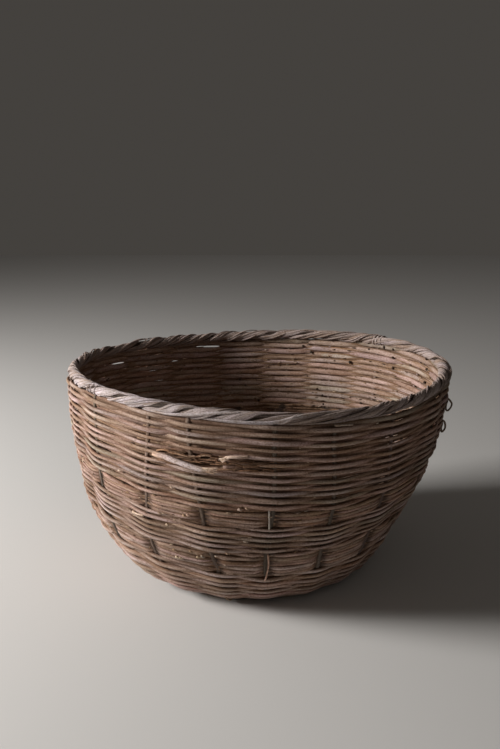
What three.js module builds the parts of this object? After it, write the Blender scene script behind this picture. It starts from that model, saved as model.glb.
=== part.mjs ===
import * as THREE from 'three';

// Sizes of the whole basket, in millimetres
const RIM_HEIGHT = 251.5;
const RIM_DIAMETER = 459;
const BASE_DIAMETER = 254;
const BELLY_FULLNESS = 0.75;
const BELLY_CURVE = 2;

// Small fit gap left between pieces that touch
const TOUCH_GAP = 0.3;

// Upright rods: each crosses under the bowl and climbs the wall on both sides
const ROD_DIAMETER = 4.5;
const ROD_SIDES = 6;
const LONG_RODS = 10;
const ROD_SIDE_GAP = 0.5;
const CROSS_MARGIN = 1.5;
const FIRST_ROD_ANGLE = 6;

// Woven courses
const WALL_COURSES = 20;
const OPEN_COURSES = [6, 7, 12];
const COURSE_THICKNESS = 4;
const COURSE_EDGE = 0.6;
const COURSE_GAP = 0.5;
const BASE_COURSES = 4;
const BASE_THICKNESS = 3.2;
const BINDING_INNER = 27;
const BINDING_WIDTH = 17.7;
const BINDING_EASE = 0.35;
const ARM_MERGE_LENGTH = 4.5;

// Rod laid round the outside of the base, on which the basket stands
const EDGE_ROD_WIDTH = 6.6;
const EDGE_ROD_GAP = 0.4;
const EDGE_ROD_ROUNDING = 1.2;

// Rim: a hoop with two flat strips wound round it
const HOOP_DIAMETER = 5.6;
const HOOP_SIDES = 6;
const WRAP_WIDTH = 8;
const WRAP_THICKNESS = 2.2;
const WRAP_STEPS = 4;

// Worn, uneven shape of the old basket
const EGG_SHAPE = 0.03;
const OVAL_SHAPE = 0.01;
const RIM_WAVE = 4;
const RIM_LEAN = 8;
const BELLY_SWAY = 6;
const ROW_SAG = 12;
const ROW_SAG_LEVEL = 0.34;
const ROW_SAG_ANGLE = -84;
const ROW_SAG_FOCUS = 4;

// Snapped rod end lying on the outside of the wall
const BROKEN_LENGTH = 52;
const BROKEN_DIAMETER = 5.5;
const BROKEN_COURSE = 16;
const BROKEN_STAKE = 14;
const BROKEN_REST = 0.6;
const BROKEN_DROOP = 8;
const BROKEN_SPRING = 3;

// Colours of the weathered rods
const STAKE_COLOUR = 0x5b4437;
const WEAVER_COLOUR = 0x7a6051;
const PALE_COLOUR = 0x8f7868;
const RIM_COLOUR = 0x86736a;
const ROUGHNESS = 0.88;
const SHADE_SPREAD = 0.12;

const DEGREE = Math.PI / 180;
const RODS_PER_ARM = LONG_RODS / 2;
const STAKE_COUNT = LONG_RODS * 2;
const STAKE_STEP = 360 / STAKE_COUNT;
const RING_SECTIONS = STAKE_COUNT * 2;
const SECTION_STEP = 360 / RING_SECTIONS;
const ROD_RADIUS = ROD_DIAMETER / 2;
const ROD_CLEAR = ROD_RADIUS + TOUCH_GAP;
const HOOP_RADIUS = HOOP_DIAMETER / 2;
const WRAP_RADIUS = HOOP_RADIUS + TOUCH_GAP + WRAP_THICKNESS / 2;
const WRAP_REACH = Math.hypot(WRAP_RADIUS + WRAP_THICKNESS / 2, WRAP_WIDTH / 2);

// Rings of the base, from the binding round the cross out to the edge rod
const SPINE_BASE = BASE_DIAMETER / 2;
const EDGE_ROD_OUTER = SPINE_BASE - EDGE_ROD_GAP;
const EDGE_ROD_INNER = EDGE_ROD_OUTER - EDGE_ROD_WIDTH;
const BINDING_OUTER = BINDING_INNER + BINDING_WIDTH;
const ARM_BEND_RADIUS = BINDING_OUTER + TOUCH_GAP;
const BASE_FIRST_RADIUS = ARM_BEND_RADIUS + ARM_MERGE_LENGTH;
const BASE_LAST_RADIUS = EDGE_ROD_INNER - COURSE_GAP;
const BASE_PITCH = (BASE_LAST_RADIUS - BASE_FIRST_RADIUS + COURSE_GAP) / BASE_COURSES;

// Cross in the middle: two layers of rods lying side by side
const CROSS_PITCH = ROD_DIAMETER + ROD_SIDE_GAP;
const CROSS_HALF = CROSS_PITCH * RODS_PER_ARM / 2 + CROSS_MARGIN;
const LAYER_DROP = (ROD_DIAMETER + TOUCH_GAP) / 2;
const BINDING_RISE = ROD_CLEAR + BASE_THICKNESS / 2 - LAYER_DROP + BINDING_EASE;

// The base courses hang this far below the middle line of the base rods
const BASE_SPACING = BASE_FIRST_RADIUS * STAKE_STEP * DEGREE;
const BASE_HEIGHT = waveHeight(BASE_SPACING, BASE_THICKNESS) + BASE_THICKNESS / 2 + TOUCH_GAP * 2;

// Middle line of the wall, from the edge of the base up to the rim hoop
const SPINE_TOP = RIM_DIAMETER / 2 - WRAP_REACH;
const HOOP_HEIGHT = RIM_HEIGHT - WRAP_REACH;
const WALL_RISE = HOOP_HEIGHT - BASE_HEIGHT;

// How far a course must swing from the middle line to clear the rods it passes
function waveHeight(spacing, thickness) {
  let swing = thickness / 2 + ROD_CLEAR;
  for (let pass = 0; pass < 12; pass += 1) {
    const slope = Math.atan(2 * swing / spacing) + SECTION_STEP * DEGREE / 2;
    swing = thickness / 2 + ROD_CLEAR / Math.cos(slope);
  }
  return swing;
}

function wallRadius(share) {
  const bow = 1 - Math.pow(1 - share, BELLY_CURVE);
  return SPINE_BASE + (SPINE_TOP - SPINE_BASE) * Math.pow(bow, BELLY_FULLNESS);
}

// Distance walked up the curved wall, for every small step in height
function wallWalk() {
  const steps = 2000;
  const walk = [{ along: 0, share: 0 }];
  for (let i = 1; i <= steps; i += 1) {
    const share = i / steps;
    const before = walk[i - 1];
    const run = wallRadius(share) - wallRadius(before.share);
    const rise = WALL_RISE * (share - before.share);
    walk.push({ along: before.along + Math.hypot(run, rise), share });
  }
  return walk;
}

const WALK = wallWalk();
const WALL_LENGTH = WALK[WALK.length - 1].along;
const COURSES_START = SPINE_BASE + TOUCH_GAP * 4;
const COURSES_END = SPINE_BASE + WALL_LENGTH - WRAP_REACH - TOUCH_GAP;
const COURSE_PITCH = (COURSES_END - COURSES_START + COURSE_GAP) / WALL_COURSES;

function shareAt(along) {
  const found = WALK.find((entry) => entry.along >= along);
  return found ? found.share : 1;
}

// The wall line is made of straight lengths; two courses stand on most of them
function makeKnots() {
  const knots = [
    { s: 0, r: 0, z: BASE_HEIGHT },
    { s: SPINE_BASE, r: SPINE_BASE, z: BASE_HEIGHT },
  ];
  for (let course = 1; course < WALL_COURSES; course += 1) {
    if (course === 1 || course % 2 === 0) {
      const s = COURSES_START + course * COURSE_PITCH - COURSE_GAP / 2;
      const share = shareAt(s - SPINE_BASE);
      knots.push({ s, r: wallRadius(share), z: BASE_HEIGHT + WALL_RISE * share });
    }
  }
  knots.push({ s: SPINE_BASE + WALL_LENGTH, r: SPINE_TOP, z: HOOP_HEIGHT });
  return knots;
}

// Sideways direction at each knot, so that offset lines keep an even distance
function addNormals(knots) {
  const facing = [];
  for (let i = 0; i + 1 < knots.length; i += 1) {
    const run = knots[i + 1].r - knots[i].r;
    const rise = knots[i + 1].z - knots[i].z;
    const size = Math.hypot(run, rise);
    facing.push({ r: rise / size, z: -run / size });
  }
  knots.forEach((knot, i) => {
    const a = facing[Math.max(i - 1, 0)];
    const b = facing[Math.min(i, facing.length - 1)];
    const share = 1 + a.r * b.r + a.z * b.z;
    knot.nr = (a.r + b.r) / share;
    knot.nz = (a.z + b.z) / share;
  });
  return knots;
}

const KNOTS = addNormals(makeKnots());

// Old baskets sag: egg-shaped plan, wavy rim and a belly that sways to one side
function settle(angle, r, z) {
  const share = Math.max(0, (z - BASE_HEIGHT) / WALL_RISE);
  const turn = angle * DEGREE;
  const shape = 1 + share * (EGG_SHAPE * Math.sin(3 * turn) + OVAL_SHAPE * Math.cos(2 * turn));
  const lean = RIM_LEAN * share - BELLY_SWAY * Math.sin(Math.PI * Math.min(share, 1));
  const wave = RIM_WAVE * share * Math.sin(2 * turn);
  return new THREE.Vector3(r * shape * Math.cos(turn) + lean, r * shape * Math.sin(turn), z + wave);
}

// Radius and height at distance s from the base centre up the wall, and
// distance n outwards from the middle line of the rods
function profileAt(s, n) {
  let i = 0;
  while (i + 2 < KNOTS.length && s > KNOTS[i + 1].s) {
    i += 1;
  }
  const a = KNOTS[i];
  const b = KNOTS[i + 1];
  const t = (s - a.s) / (b.s - a.s);
  const r = a.r + (b.r - a.r) * t + n * (a.nr + (b.nr - a.nr) * t);
  const z = a.z + (b.z - a.z) * t + n * (a.nz + (b.nz - a.nz) * t);
  return { r, z };
}

// Point on the basket, at an angle round it
function place(angle, s, n) {
  const profile = profileAt(s, n);
  return settle(angle, profile.r, profile.z);
}

// The woven rows sag in front and behind and ride up at the sides, most of all
// in the lower part of the wall
function rowAt(angle, s) {
  const level = Math.max(0, s - SPINE_BASE) / WALL_LENGTH / ROW_SAG_LEVEL;
  const reach = Math.pow(level * Math.exp(1 - level), ROW_SAG_FOCUS);
  return s - ROW_SAG * reach * Math.cos(2 * (angle - ROW_SAG_ANGLE) * DEGREE);
}

// Closed solid through a row of cross-sections, as a ring or with flat ends
function sweep(sections, isRing) {
  const sides = sections[0].length;
  const points = sections.flat();
  const faces = [];
  const spans = isRing ? sections.length : sections.length - 1;
  for (let i = 0; i < spans; i += 1) {
    const here = i * sides;
    const next = ((i + 1) % sections.length) * sides;
    for (let j = 0; j < sides; j += 1) {
      const k = (j + 1) % sides;
      const a = here + j;
      const b = here + k;
      const c = next + k;
      const d = next + j;
      if (points[a].distanceTo(points[c]) <= points[b].distanceTo(points[d])) {
        faces.push(a, b, c, a, c, d);
      } else {
        faces.push(a, b, d, b, c, d);
      }
    }
  }
  if (!isRing) {
    const last = (sections.length - 1) * sides;
    for (let j = 1; j + 1 < sides; j += 1) {
      faces.push(0, j + 1, j);
      faces.push(last, last + j, last + j + 1);
    }
  }
  if (signedVolume(points, faces) < 0) {
    faces.reverse();
  }
  const geometry = new THREE.BufferGeometry().setFromPoints(points);
  geometry.setIndex(faces);
  geometry.computeVertexNormals();
  return geometry;
}

function signedVolume(points, faces) {
  const cross = new THREE.Vector3();
  let total = 0;
  for (let i = 0; i < faces.length; i += 3) {
    cross.crossVectors(points[faces[i + 1]], points[faces[i + 2]]);
    total += points[faces[i]].dot(cross);
  }
  return total / 6;
}

// Round rod along a row of points
function rodAlong(path, radius, sides) {
  const sections = [];
  let side = null;
  path.forEach((point, i) => {
    const before = path[Math.max(i - 1, 0)];
    const after = path[Math.min(i + 1, path.length - 1)];
    const inward = point.clone().sub(before).normalize();
    const onward = after.clone().sub(point).normalize();
    const forward = inward.add(onward).normalize();
    if (side === null) {
      const up = new THREE.Vector3(0, 0, 1);
      side = new THREE.Vector3().crossVectors(up, forward);
      if (side.length() < 0.1) {
        side.set(1, 0, 0);
      }
    }
    side.addScaledVector(forward, -side.dot(forward)).normalize();
    const other = new THREE.Vector3().crossVectors(forward, side);
    const section = [];
    for (let j = 0; j < sides; j += 1) {
      const turn = (j + 0.5) / sides * 2 * Math.PI;
      const offset = side.clone().multiplyScalar(radius * Math.cos(turn));
      offset.addScaledVector(other, radius * Math.sin(turn));
      section.push(point.clone().add(offset));
    }
    sections.push(section);
  });
  return sweep(sections, false);
}

// Woven course between two distances, swinging in and out past the rods
function courseRing(from, to, thickness, offsetAt) {
  const half = thickness / 2;
  const edge = half * COURSE_EDGE;
  const sections = [];
  for (let i = 0; i < RING_SECTIONS; i += 1) {
    const angle = FIRST_ROD_ANGLE + i * SECTION_STEP;
    const n = offsetAt(i);
    const low = rowAt(angle, from);
    const high = rowAt(angle, to);
    const centre = (low + high) / 2;
    sections.push([
      place(angle, low, n - edge),
      place(angle, low, n + edge),
      place(angle, centre, n + half),
      place(angle, high, n + edge),
      place(angle, high, n - edge),
      place(angle, centre, n - half),
    ]);
  }
  return sweep(sections, true);
}

// Lighter and darker rods, repeating without a visible order
function shadeOf(colour, index) {
  const shade = new THREE.Color(colour);
  const mix = Math.sin(index * 12.9898) * 0.5;
  return shade.multiplyScalar(1 + SHADE_SPREAD * mix);
}

const basket = new THREE.Group();
basket.name = 'basket';
let pieceNumber = 0;

function addPiece(name, geometry, colour) {
  pieceNumber += 1;
  const material = new THREE.MeshStandardMaterial({
    color: shadeOf(colour, pieceNumber),
    roughness: ROUGHNESS,
    metalness: 0,
  });
  const mesh = new THREE.Mesh(geometry, material);
  mesh.name = name;
  basket.add(mesh);
  return mesh;
}

function twoDigits(number) {
  return String(number).padStart(2, '0');
}

const STAKE_TOP = SPINE_BASE + WALL_LENGTH - HOOP_RADIUS - TOUCH_GAP;

// Points up the wall where a standing rod changes direction, up to its top end
function wallPath(angle) {
  const path = KNOTS.slice(1, -1).map((knot) => place(angle, knot.s, 0));
  path.push(place(angle, STAKE_TOP, 0));
  return path;
}

// Long rods: half of them cross over the other half in the middle of the base,
// then they fan out and climb the wall on both sides
function longRodHalf(armAngle, order, drop) {
  const path = [];
  const arm = armAngle * DEGREE;
  const across = order * CROSS_PITCH;
  const x = CROSS_HALF * Math.cos(arm) - across * Math.sin(arm);
  const y = CROSS_HALF * Math.sin(arm) + across * Math.cos(arm);
  path.push(new THREE.Vector3(x, y, BASE_HEIGHT - drop));
  const angle = armAngle + order * STAKE_STEP;
  path.push(place(angle, ARM_BEND_RADIUS, drop));
  path.push(place(angle, BASE_FIRST_RADIUS, 0));
  return path.concat(wallPath(angle));
}

for (let i = 0; i < LONG_RODS; i += 1) {
  const isLower = i < RODS_PER_ARM;
  const order = (i % RODS_PER_ARM) - (RODS_PER_ARM - 1) / 2;
  const armAngle = FIRST_ROD_ANGLE + (isLower ? 0 : 90);
  const drop = isLower ? LAYER_DROP : -LAYER_DROP;
  const nearHalf = longRodHalf(armAngle, order, drop);
  const farHalf = longRodHalf(armAngle + 180, -order, drop);
  const path = farHalf.reverse().concat(nearHalf);
  const name = `long_rod_${twoDigits(i + 1)}`;
  addPiece(name, rodAlong(path, ROD_RADIUS, ROD_SIDES), STAKE_COLOUR);
}

// Binding: goes over the lower arms of the cross and under the upper arms
const STEPS_PER_ARM = RING_SECTIONS / 4;
function bindingOffset(i) {
  const step = (i + STEPS_PER_ARM / 2) % (2 * STEPS_PER_ARM);
  if (step % STEPS_PER_ARM === 0) {
    return 0;
  }
  return step < STEPS_PER_ARM ? -BINDING_RISE : BINDING_RISE;
}
const binding = courseRing(BINDING_INNER, BINDING_OUTER, BASE_THICKNESS, bindingOffset);
addPiece('base_binding', binding, WEAVER_COLOUR);

// A course passes over one stake and under the next, crossing between them
function wovenOffset(course, swing) {
  return (i) => {
    if (i % 2 === 1) {
      return 0;
    }
    return (i / 2 + course) % 2 === 0 ? swing : -swing;
  };
}

// A course in an open band passes inside every stake and bows out between them
function openOffset(swing) {
  return (i) => (i % 2 === 1 ? 0 : -swing);
}

// Base courses, woven over and under the long rods
for (let course = 0; course < BASE_COURSES; course += 1) {
  const from = BASE_FIRST_RADIUS + course * BASE_PITCH;
  const to = from + BASE_PITCH - COURSE_GAP;
  const swing = waveHeight(from * STAKE_STEP * DEGREE, BASE_THICKNESS);
  const ring = courseRing(from, to, BASE_THICKNESS, wovenOffset(course, swing));
  addPiece(`base_course_${twoDigits(course + 1)}`, ring, WEAVER_COLOUR);
}

// Base edge rod: round on top, worn flat underneath where the basket stands
function edgeRod() {
  const sections = [];
  const middle = (ROD_CLEAR + BASE_HEIGHT) / 2;
  for (let i = 0; i < RING_SECTIONS; i += 1) {
    const angle = FIRST_ROD_ANGLE + i * SECTION_STEP;
    sections.push([
      place(angle, EDGE_ROD_INNER + EDGE_ROD_ROUNDING, ROD_CLEAR),
      place(angle, EDGE_ROD_OUTER - EDGE_ROD_ROUNDING, ROD_CLEAR),
      place(angle, EDGE_ROD_OUTER, middle),
      place(angle, EDGE_ROD_OUTER - EDGE_ROD_ROUNDING, BASE_HEIGHT),
      place(angle, EDGE_ROD_INNER + EDGE_ROD_ROUNDING, BASE_HEIGHT),
      place(angle, EDGE_ROD_INNER, middle),
    ]);
  }
  return sweep(sections, true);
}
addPiece('base_edge_rod', edgeRod(), WEAVER_COLOUR);

// Wall courses, woven in front of and behind the stakes; the open bands show
// the bare stakes
function wallSwing(course) {
  const low = profileAt(COURSES_START + course * COURSE_PITCH, 0);
  return waveHeight(low.r * STAKE_STEP * DEGREE, COURSE_THICKNESS);
}

for (let course = 0; course < WALL_COURSES; course += 1) {
  const from = COURSES_START + course * COURSE_PITCH;
  const to = from + COURSE_PITCH - COURSE_GAP;
  const swing = wallSwing(course);
  const isOpen = OPEN_COURSES.includes(course);
  const offsetAt = isOpen ? openOffset(swing) : wovenOffset(course, swing);
  const ring = courseRing(from, to, COURSE_THICKNESS, offsetAt);
  const colour = course % 3 === 1 ? PALE_COLOUR : WEAVER_COLOUR;
  addPiece(`wall_course_${twoDigits(course + 1)}`, ring, colour);
}

// Point on the rim, measured round the hoop's own middle line
function rimPoint(step, out, up) {
  const knotStep = SECTION_STEP / 2;
  const angle = step * knotStep;
  const low = Math.floor(step) * knotStep;
  const share = (angle - low) / knotStep;
  const at = (base) => {
    const s = SPINE_BASE + WALL_LENGTH + up;
    return place(FIRST_ROD_ANGLE + base, s, out);
  };
  return at(low).lerp(at(low + knotStep), share);
}

function hoopRing() {
  const sections = [];
  for (let i = 0; i < RING_SECTIONS * 2; i += 1) {
    const section = [];
    for (let j = 0; j < HOOP_SIDES; j += 1) {
      const turn = (j + 0.5) / HOOP_SIDES * 2 * Math.PI;
      section.push(rimPoint(i, HOOP_RADIUS * Math.cos(turn), HOOP_RADIUS * Math.sin(turn)));
    }
    sections.push(section);
  }
  return sweep(sections, true);
}
addPiece('rim_hoop', hoopRing(), RIM_COLOUR);

// Wraps: two flat strips wound round the hoop, going under it between stakes
function wrapStrip(startTurn) {
  const sections = [];
  for (let i = 0; i < RING_SECTIONS * WRAP_STEPS; i += 1) {
    const step = i * 2 / WRAP_STEPS;
    const turn = startTurn + step * Math.PI / 2;
    const outDir = Math.cos(turn);
    const upDir = Math.sin(turn);
    const corner = (depth, width) => {
      const reach = WRAP_RADIUS + depth * WRAP_THICKNESS / 2;
      const shift = width * WRAP_WIDTH / 2;
      return rimPoint(step, reach * outDir - shift * upDir, reach * upDir + shift * outDir);
    };
    sections.push([corner(-1, -1), corner(1, -1), corner(1, 1), corner(-1, 1)]);
  }
  return sweep(sections, true);
}
addPiece('rim_wrap_a', wrapStrip(0), PALE_COLOUR);
addPiece('rim_wrap_b', wrapStrip(Math.PI), RIM_COLOUR);

// Snapped weaver end: rests on the course where it passes in front of a stake,
// with its tip sprung a little outwards
function brokenRod() {
  const s = COURSES_START + (BROKEN_COURSE + 0.5) * COURSE_PITCH;
  const flatSide = BROKEN_DIAMETER / 2 * Math.cos(Math.PI / ROD_SIDES);
  const n = wallSwing(BROKEN_COURSE) + COURSE_THICKNESS / 2 + TOUCH_GAP + flatSide;
  const stakeAngle = FIRST_ROD_ANGLE + BROKEN_STAKE * STAKE_STEP;
  const spread = BROKEN_LENGTH / 2 / profileAt(s, n).r / DEGREE;
  const fall = BROKEN_LENGTH / 2 * Math.tan(BROKEN_DROOP * DEGREE);
  const path = [-1, -0.5, 0, 0.5, 1].map((part) => {
    const t = part - BROKEN_REST;
    const angle = stakeAngle + spread * t;
    return place(angle, rowAt(angle, s) - fall * t, n + BROKEN_SPRING * t);
  });
  return rodAlong(path, BROKEN_DIAMETER / 2, ROD_SIDES);
}
addPiece('broken_rod_end', brokenRod(), PALE_COLOUR);

// Stand the basket on z = 0 with the middle of its outline over the origin
basket.updateMatrixWorld(true);
const outline = new THREE.Box3().setFromObject(basket);
const shiftX = -(outline.min.x + outline.max.x) / 2;
const shiftY = -(outline.min.y + outline.max.y) / 2;
basket.children.forEach((piece) => {
  piece.position.set(shiftX, shiftY, -outline.min.z);
});

export default basket;
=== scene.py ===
import math

import bpy
import numpy as np
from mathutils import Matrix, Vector
from numpy import cos, exp, pi, sin


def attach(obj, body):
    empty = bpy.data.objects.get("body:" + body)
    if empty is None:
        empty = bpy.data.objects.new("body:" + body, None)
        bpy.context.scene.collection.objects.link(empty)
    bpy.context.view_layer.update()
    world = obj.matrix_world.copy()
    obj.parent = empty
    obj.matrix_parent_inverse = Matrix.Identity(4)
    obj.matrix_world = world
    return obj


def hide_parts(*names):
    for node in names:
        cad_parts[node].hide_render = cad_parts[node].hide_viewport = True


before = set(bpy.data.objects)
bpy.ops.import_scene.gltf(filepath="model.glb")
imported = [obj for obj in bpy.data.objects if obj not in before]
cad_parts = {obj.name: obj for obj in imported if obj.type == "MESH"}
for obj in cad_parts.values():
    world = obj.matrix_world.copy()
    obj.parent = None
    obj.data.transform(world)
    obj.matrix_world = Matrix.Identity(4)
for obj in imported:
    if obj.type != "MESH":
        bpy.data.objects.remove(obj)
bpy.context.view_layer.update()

rng = np.random.default_rng(41)
MM = 0.001

# Shape of the basket in millimetres, as in the frame.
BASE_R = 127.0
TOP_R = 222.86
BASE_Z = 6.96
TOP_Z = 244.86
RISE = TOP_Z - BASE_Z
SHIFT = np.array([-7.856, 6.844, 0.0])
BELLY_CURVE = 2
BELLY_FULLNESS = 0.75
EGG_SHAPE = 0.03
OVAL_SHAPE = 0.01
RIM_WAVE = 4.0
STAKES = 20
STEP = 18.0
FIRST = 6.0

# Rods are a little flatter from inside to outside than from top to bottom.
STAKE_R = 2.4
STAKE_FLAT = 0.64
ROD_FLAT = 0.78

# The woven wall stands this far outside the frame's middle line, away from its two ends.
STAND_OUT = 2.5
FOOT_END = 15
RIM_END = 8

# Low down at the left front the wall swells by this much more.
SWELL = 2.2
SWELL_S = 172
SWELL_REACH = 26
SWELL_PHI = 218

# Steps of the middle line, and how far it goes past the top
GRID_STEP = 0.5
PAST_TOP = 12
SPINE_SMOOTH = 25


def clamp(values):
    return np.clip(values, 0, 1)


def smoothed(values, width, mode):
    """Moving average over an odd number of values."""
    return np.convolve(np.pad(values, width // 2, mode=mode), np.ones(width) / width, mode="valid")


def make_spine():
    """The wall's middle line, from the centre of the base out and up to the rim."""
    u = np.linspace(0, 1, 4001)
    r = BASE_R + (TOP_R - BASE_R) * (1 - (1 - u) ** BELLY_CURVE) ** BELLY_FULLNESS
    z = BASE_Z + RISE * u
    s = BASE_R + np.concatenate([[0], np.cumsum(np.hypot(np.diff(r), np.diff(z)))])
    top = s[-1]
    grid = np.arange(0, top + PAST_TOP, GRID_STEP)
    gr = np.where(grid < BASE_R, grid, np.interp(grid, s, r))
    gz = np.where(grid < BASE_R, BASE_Z, np.interp(grid, s, z))
    gz = gz + np.clip(grid - top, 0, None)
    nr, nz = np.gradient(gz, grid), -np.gradient(gr, grid)
    nr = smoothed(nr, SPINE_SMOOTH, "edge")
    nz = smoothed(nz, SPINE_SMOOTH, "edge")
    size = np.hypot(nr, nz)
    return grid, gr, gz, nr / size, nz / size, top


S, SR, SZ, SNR, SNZ, S_TOP = make_spine()

# How far the bowl leans to the side at each height
LEAN_Z = np.array([0, 7, 28, 50, 74, 97, 118, 141, 184, 251, 262])
LEAN_X = np.array([0, 0, -2.4, -3.8, -5.4, -4.2, -0.8, 2.4, 5.4, 8.2, 8.6])


def settle(phi, r, z):
    """Lean, egg shape and wavy rim, laid over a plain round bowl."""
    share = np.clip((z - BASE_Z) / RISE, 0, None)
    a = np.radians(phi)
    shape = 1 + share * (EGG_SHAPE * sin(3 * a) + OVAL_SHAPE * cos(2 * a))
    lean = np.interp(z, LEAN_Z, LEAN_X)
    wave = RIM_WAVE * share * sin(2 * a)
    return np.stack([r * shape * cos(a) + lean, r * shape * sin(a), z + wave], axis=-1) + SHIFT


def place(phi, s, n):
    """Point at angle phi, s along the wall and n outside its middle line."""
    n = n + STAND_OUT * clamp((s - BASE_R) / FOOT_END) * clamp((S_TOP - s) / RIM_END)
    side = clamp(cos(np.radians(phi - SWELL_PHI))) ** 2
    n = n + SWELL * exp(-((s - SWELL_S) / SWELL_REACH) ** 2) * side
    r = np.interp(s, S, SR) + n * np.interp(s, S, SNR)
    z = np.interp(s, S, SZ) + n * np.interp(s, S, SNZ)
    return settle(phi, r, z)


def outward(phi, s):
    a = np.radians(phi)
    nr = np.interp(s, S, SNR)
    nz = np.interp(s, S, SNZ)
    return np.stack([nr * cos(a), nr * sin(a), nz], axis=-1)


# Height and length of the wall's outer face at the front, for each s
OUTER_FACE = 7
OUT_Z = np.maximum.accumulate(SZ + OUTER_FACE * SNZ + np.arange(len(S)) * 1e-6)
OUT_WALK = np.concatenate([[0], np.cumsum(np.hypot(np.diff(SR + OUTER_FACE * SNR),
                                                   np.diff(SZ + OUTER_FACE * SNZ)))])

# The rows sag in front and behind and ride up at the sides, most at one level of the wall.
SAG = 12.0
SAG_PHI = -84
SAG_LEVEL = 0.34
SAG_FOCUS = 4
SLOPE = 3.0

# How close or wide the rows may lie, against even ones, and the reach over which that is measured
SPREAD_LIMITS = (0.85, 1.62)
SPREAD_REACH = 3


def climb(s):
    return (s - BASE_R) / (S_TOP - BASE_R)


def sag_bump(s):
    t = np.clip(climb(s), 0, None) / SAG_LEVEL
    return (t * exp(1 - t)) ** SAG_FOCUS


def row_drift(phi, s):
    side = cos(np.radians(2 * (phi - SAG_PHI)))
    tilt = sin(np.radians(phi - SAG_PHI))
    t = clamp(climb(s))
    return SAG * (1 - side) * sag_bump(s) - SLOPE * tilt * sin(pi * t)


def spread(phi, s):
    """How much wider than even the rows lie apart at this place."""
    change = row_drift(phi, s + SPREAD_REACH) - row_drift(phi, s - SPREAD_REACH)
    return np.clip(1 + change / (2 * SPREAD_REACH), *SPREAD_LIMITS)


def wobble(w, values):
    """Smooth walk through a ring of values, one per step of w."""
    i = np.floor(w).astype(int)
    f = w - i
    f = f * f * (3 - 2 * f)
    count = len(values)
    return values[i % count] * (1 - f) + values[(i + 1) % count] * f


def ragged(w, per_stake, size):
    """Random wobble with so many values from one stake to the next."""
    return wobble(w * per_stake, rng.normal(0, size, STAKES * per_stake))


def stakes_away(w, at):
    """How far w lies from a place, the short way round."""
    return (w - at + STAKES / 2) % STAKES - STAKES / 2


def degrees_away(phi, at):
    return (phi - at + 180) % 360 - 180


# Slots of light just below the rim at the back left: place in stakes, s, height and half width
SLOTS = ((7.69, 371.5, 2.6, 0.10), (6.92, 378.0, 2.4, 0.08),
         (5.92, 378.5, 2.4, 0.06), (5.64, 378.5, 2.4, 0.13), (6.41, 362.5, 1.9, 0.05))


def parted(w, s0):
    """How far a row at s0 is pushed aside by the slots near it."""
    total = 0 * w
    for at, s_slot, height, half in SLOTS:
        away = stakes_away(w, at) / (1.6 * half)
        push = 0.5 * height * np.sign(s0 - s_slot) * math.exp(-(s0 - s_slot) ** 2 / 60)
        total = total + push * exp(-away ** 4)
    return total


# How far each stake strays, in degrees, at four levels of the wall; from 11 on after the photo
STRAY_GAP = 0.3
STRAY_TOP = 0.9
STRAY = rng.normal(0, 1.0, (STAKES, 4))
STRAY[11:19] = (
    (-2.0, -4.0, -6.0, -6.0), (-1.0, -4.4, -6.3, -5.8),
    (-2.0, -3.0, -2.8, -0.3), (1.0, 1.6, -2.8, -6.3),
    (0.0, 0.0, -1.0, -2.4), (2.0, 1.0, -1.5, -5.0),
    (4.0, 3.4, -1.0, -3.5), (2.0, 3.0, 4.0, 3.0))


def angle_of(w, s):
    """Angle of the place w, counted in stakes, at s along the wall."""
    x = np.clip(climb(s), 0, STRAY_TOP) / STRAY_GAP
    j = np.minimum(x.astype(int), 2)
    g = x - j
    k = np.floor(w).astype(int)
    f = w - k
    f = f * f * (3 - 2 * f)
    here = STRAY[k % STAKES, j] * (1 - g) + STRAY[k % STAKES, j + 1] * g
    there = STRAY[(k + 1) % STAKES, j] * (1 - g) + STRAY[(k + 1) % STAKES, j + 1] * g
    near = clamp(s / BASE_R) ** 3
    return FIRST + STEP * w + (here * (1 - f) + there * f) * near


def unit(v):
    return v / np.maximum(np.linalg.norm(v, axis=-1, keepdims=True), 1e-9)


def walked(path):
    return np.concatenate([[0], np.cumsum(np.linalg.norm(np.diff(path, axis=0), axis=1))])


def carried_frame(path):
    """A side direction carried along the path without twisting."""
    t = unit(np.gradient(path, axis=0))
    out = np.zeros_like(path)
    ref = np.array([0.0, 0.0, 1.0])
    if abs(t[0] @ ref) > 0.9:
        ref = np.array([1.0, 0.0, 0.0])
    v = ref - (ref @ t[0]) * t[0]
    for i in range(len(path)):
        v = v - (v @ t[i]) * t[i]
        v = v / max(np.linalg.norm(v), 1e-9)
        out[i] = v
    return out


def resample(path, step):
    """Smooth curve through the points, at even steps."""
    p = np.concatenate([[2 * path[0] - path[1]], path, [2 * path[-1] - path[-2]]])
    out = []
    for i in range(1, len(p) - 2):
        a, b, c, d = p[i - 1], p[i], p[i + 1], p[i + 2]
        m = max(2, int(np.ceil(np.linalg.norm(c - b) / step)))
        t = np.linspace(0, 1, m, endpoint=False)[:, None]
        out.append(0.5 * (2 * b + (c - a) * t + (2 * a - 5 * b + 4 * c - d) * t ** 2
                          + (3 * b - a - 3 * c + d) * t ** 3))
    out.append(p[-2][None])
    return np.concatenate(out)


def added(name, data):
    """A new object in the scene."""
    ob = bpy.data.objects.new(name, data)
    bpy.context.scene.collection.objects.link(ob)
    return ob


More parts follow.
